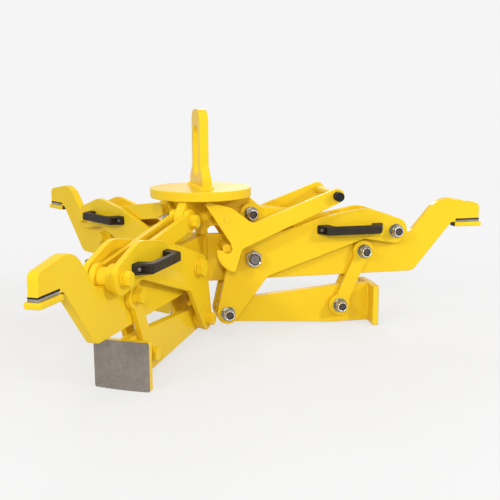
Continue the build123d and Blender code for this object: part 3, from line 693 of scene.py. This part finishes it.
show_bolts("crank_pivot_bolts", "star_frame", ARM_ANGLES, [CRANK_PIVOT], CRANK_FACE, LARGE)
show_nuts("crank_pivot_nuts", "star_frame", ARM_ANGLES, [CRANK_PIVOT], CRANK_FACE, LARGE, washers=PAINT)
show_bolts("swing_pivot_bolts", "star_frame", ARM_ANGLES, [SWING_PIVOT], LINK_FACE, SMALL)
show_nuts("swing_pivot_nuts", "star_frame", ARM_ANGLES, [SWING_PIVOT], LINK_FACE, SMALL)
show_bolts("link_bolts", "hub", ARM_ANGLES, [LINK_PIVOT], LINK_FACE, SMALL)
show_nuts("link_nuts", "hub", ARM_ANGLES, [LINK_PIVOT], LINK_FACE, SMALL)
crank_ends = [CRANK_END, PAD_PIVOT]
screw_places = handle_screw_places()
for arm in ARM_ANGLES:
    crank = f"crank_{arm}"
    pad = f"pad_{arm}"
    show_bolts(f"crank_bolts_{arm}", crank, [arm], crank_ends, CRANK_OUTER, SMALL)
    show_nuts(f"crank_fixings_{arm}", crank, [arm], crank_ends, CRANK_OUTER, SMALL, screw_places=screw_places)
    show_bolts(f"pad_bolts_{arm}", pad, [arm], [SWING_END], LINK_FACE, SMALL)
    show_nuts(f"pad_nuts_{arm}", pad, [arm], [SWING_END], LINK_FACE, SMALL)


# Weld beads


def walked(corners):
    """Points at even steps along a line through corner points."""
    points = []
    for start, end in zip(corners, corners[1:]):
        steps = max(1, round((end - start).length / WELD_STEP))
        points += [start.lerp(end, i / steps) for i in range(steps)]
    return points + [corners[-1]]


def bead(shell, corners, radius):
    """A rippled weld bead along a line, thinner at its ends."""
    points = walked(corners)
    last = len(points) - 1
    rings = []
    for i, point in enumerate(points):
        along = (points[min(i + 1, last)] - points[max(i - 1, 0)]).normalized()
        turn = Quaternion() if along.z > UPRIGHT else along.to_track_quat("Z", "Y")
        from_end = min(i, last - i) * WELD_STEP
        taper = math.sqrt(min(1, (from_end + WELD_STEP / 4) / radius))
        wander = noise.noise(point * WANDER_SCALE)
        ripple = math.cos(2 * math.pi * i * WELD_STEP / RIPPLE_LENGTH + 2 * wander)
        size = radius * taper * (1 + RIPPLE_SHARE * ripple + WANDER_SHARE * wander)
        rings.append([point + turn @ polar(size, angle, 0) for angle in even_angles(WELD_SEGMENTS)])
    shell.stack(rings, PAINT)


def show_hub_welds():
    """Beads around the lug's foot and where the brackets meet the disc and the post."""
    shell = Shell(PAINT)
    disc_low, disc_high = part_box("top_disc")
    bracket_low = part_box("hub_brackets")[0][2]
    half_thick = LUG_THICK / 2
    half_foot = LUG_FOOT / 2
    foot = [
        (0, half_foot),
        (half_thick, half_foot),
        (half_thick, -half_foot),
        (-half_thick, -half_foot),
        (-half_thick, half_foot),
        (0, half_foot),
    ]
    lug_turn = Matrix.Rotation(math.radians(LUG_TURN), 4, "Z")
    bead(shell, [lug_turn @ Vector((x, y, disc_high[2])) for x, y in foot], LUG_BEAD)
    for arm in ARM_ANGLES:
        turn = arm_matrix(arm)
        for side in (-ARM_FACE, ARM_FACE):
            root = [Vector((x, side, disc_low[2])) for x in (POST_RADIUS, LINK_PIVOT.x - BRACKET_SHORT)]
            bead(shell, [turn @ point for point in root], BRACKET_BEAD)
        across = [Vector((POST_RADIUS, y, bracket_low)) for y in (-ARM_FACE, ARM_FACE)]
        bead(shell, [turn @ point for point in across], POST_BEAD)
    shell.piece("hub_welds", "hub")


def show_star_welds():
    """Beads in the corners where the three arm plates meet."""
    shell = Shell(PAINT)
    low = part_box("hook_arm_right")[0][2] + STAR_SHORT
    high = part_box("centre_post")[0][2] - STAR_SHORT
    corner = ARM_FACE / math.sin(math.radians(HALF_SPREAD)) + STAR_OUT
    for angle in ARM_ANGLES.values():
        turn = Matrix.Rotation(math.radians(angle + HALF_SPREAD), 4, "Z")
        bead(shell, [turn @ Vector((corner, 0, z)) for z in (low, high)], STAR_BEAD)
    shell.piece("star_welds", "star_frame")


def show_pad_welds(arm):
    """Beads where the pad bar meets the back of the pad."""
    shell = Shell(PAINT)
    low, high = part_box("pad_bar_right")
    back = PAD_AXIS.x + math.sqrt((PAD_FACE_RADIUS - PAD_PLATE) ** 2 - ARM_FACE ** 2)
    for side in (-ARM_FACE, ARM_FACE):
        ends = [Vector((back, side, z)) for z in (low[2] + PAD_SHORT, high[2] - PAD_SHORT)]
        bead(shell, [arm_matrix(arm) @ point for point in ends], PAD_BEAD)
    shell.piece(f"pad_welds_{arm}", f"pad_{arm}")


show_hub_welds()
show_star_welds()
for arm in ARM_ANGLES:
    show_pad_welds(arm)


# Stage, light and camera


def seen_directly(tree):
    """A share that is 1 for rays that show the background: from the camera, in gloss and through glass."""
    path = tree.nodes.new("ShaderNodeLightPath")
    share = path.outputs["Is Camera Ray"]
    for ray in ("Is Glossy Ray", "Is Transmission Ray"):
        either = tree.nodes.new("ShaderNodeMath")
        either.operation = "MAXIMUM"
        tree.links.new(share, either.inputs[0])
        tree.links.new(path.outputs[ray], either.inputs[1])
        share = either.outputs["Value"]
    return share


def floor_material():
    """Pale matt floor that takes the shadow near the object and runs into the background."""
    finish = Finish("pale_floor")
    grain = finish.ramp(finish.noise(scale=3.0), (0.0, (0.57, 0.57, 0.57)), (1.0, (0.60, 0.60, 0.60)))
    finish.feed("Base Color", grain)
    finish.set("Roughness", 0.9)
    reach = finish.distance((0, 0, 0), axes=(1, 1, 0))
    strength = finish.span(reach, low=FLOOR_GLOW, high=BACKGROUND, start=FLOOR_NEAR, end=FLOOR_FAR)
    away = finish.span(reach, low=FLOOR_GLOW_SHARE, high=1.0, start=FLOOR_NEAR, end=FLOOR_FAR)
    glow = finish.add("ShaderNodeEmission")
    finish.link(strength, glow.inputs["Strength"])
    mixed = finish.add("ShaderNodeMixShader")
    finish.link(finish.combine("MULTIPLY", away, seen_directly(finish.tree)), mixed.inputs["Fac"])
    finish.link(finish.shader.outputs["BSDF"], mixed.inputs[1])
    finish.link(glow.outputs["Emission"], mixed.inputs[2])
    finish.link(mixed.outputs["Shader"], finish.tree.nodes["Material Output"].inputs["Surface"])
    return finish.material


def add_floor():
    """A square floor just under the object."""
    half = FLOOR_SIZE / 2
    corners = [(-half, -half, 0), (half, -half, 0), (half, half, 0), (-half, half, 0)]
    mesh = bpy.data.meshes.new("floor")
    mesh.from_pydata(corners, [], [(0, 1, 2, 3)])
    mesh.materials.append(floor_material())
    floor = bpy.data.objects.new("floor", mesh)
    floor.location.z = cad_box[0][2] - FLOOR_DROP
    bpy.context.scene.collection.objects.link(floor)


def add_world():
    """Even white light from all around, in front of a pale background."""
    world = bpy.data.worlds.new("studio")
    bpy.context.scene.world = world
    world.use_nodes = True
    tree = world.node_tree
    backdrop = tree.nodes["Background"]
    backdrop.inputs["Color"].default_value = (1, 1, 1, 1)
    level = tree.nodes.new("ShaderNodeMapRange")
    level.inputs["To Min"].default_value = WORLD_LIGHT
    level.inputs["To Max"].default_value = BACKGROUND
    tree.links.new(seen_directly(tree), level.inputs["Value"])
    tree.links.new(level.outputs["Result"], backdrop.inputs["Strength"])


def add_light(name, place, size, energy):
    """A square studio light aimed at the middle of the object."""
    lamp = bpy.data.lights.new(name, "AREA")
    lamp.shape = "SQUARE"
    lamp.size = size
    lamp.energy = energy
    light = bpy.data.objects.new(name, lamp)
    light.location = place
    light.rotation_mode = "QUATERNION"
    light.rotation_quaternion = (LIGHT_AIM - Vector(place)).to_track_quat("-Z", "Y")
    bpy.context.scene.collection.objects.link(light)


def add_camera():
    """The camera at the photograph's place and angle."""
    optics = bpy.data.cameras.new("camera")
    optics.sensor_width = SENSOR
    optics.sensor_fit = "HORIZONTAL"
    optics.lens = CAMERA_LENS
    camera = bpy.data.objects.new("camera", optics)
    camera.location = CAMERA_PLACE
    camera.rotation_mode = "QUATERNION"
    aim = CAMERA_FORWARD.to_track_quat("-Z", "Y")
    camera.rotation_quaternion = aim @ Quaternion((0, 0, 1), CAMERA_ROLL)
    bpy.context.scene.collection.objects.link(camera)
    bpy.context.scene.camera = camera


add_floor()
add_world()
add_light("left_light", place=(-1.8, -2.0, 0.9), size=0.22, energy=19.0)
add_light("right_light", place=(2.1, -1.8, 0.85), size=0.22, energy=23.0)
add_light("front_light", place=(-0.7, -4.4, 1.5), size=0.25, energy=58.0)
add_light("top_light", place=(0, -0.5, 2.6), size=1.0, energy=8.0)
add_light("back_light", place=(0.7, 3.0, 1.3), size=0.6, energy=26.0)
add_camera()
bpy.context.scene.view_settings.view_transform = "Standard"
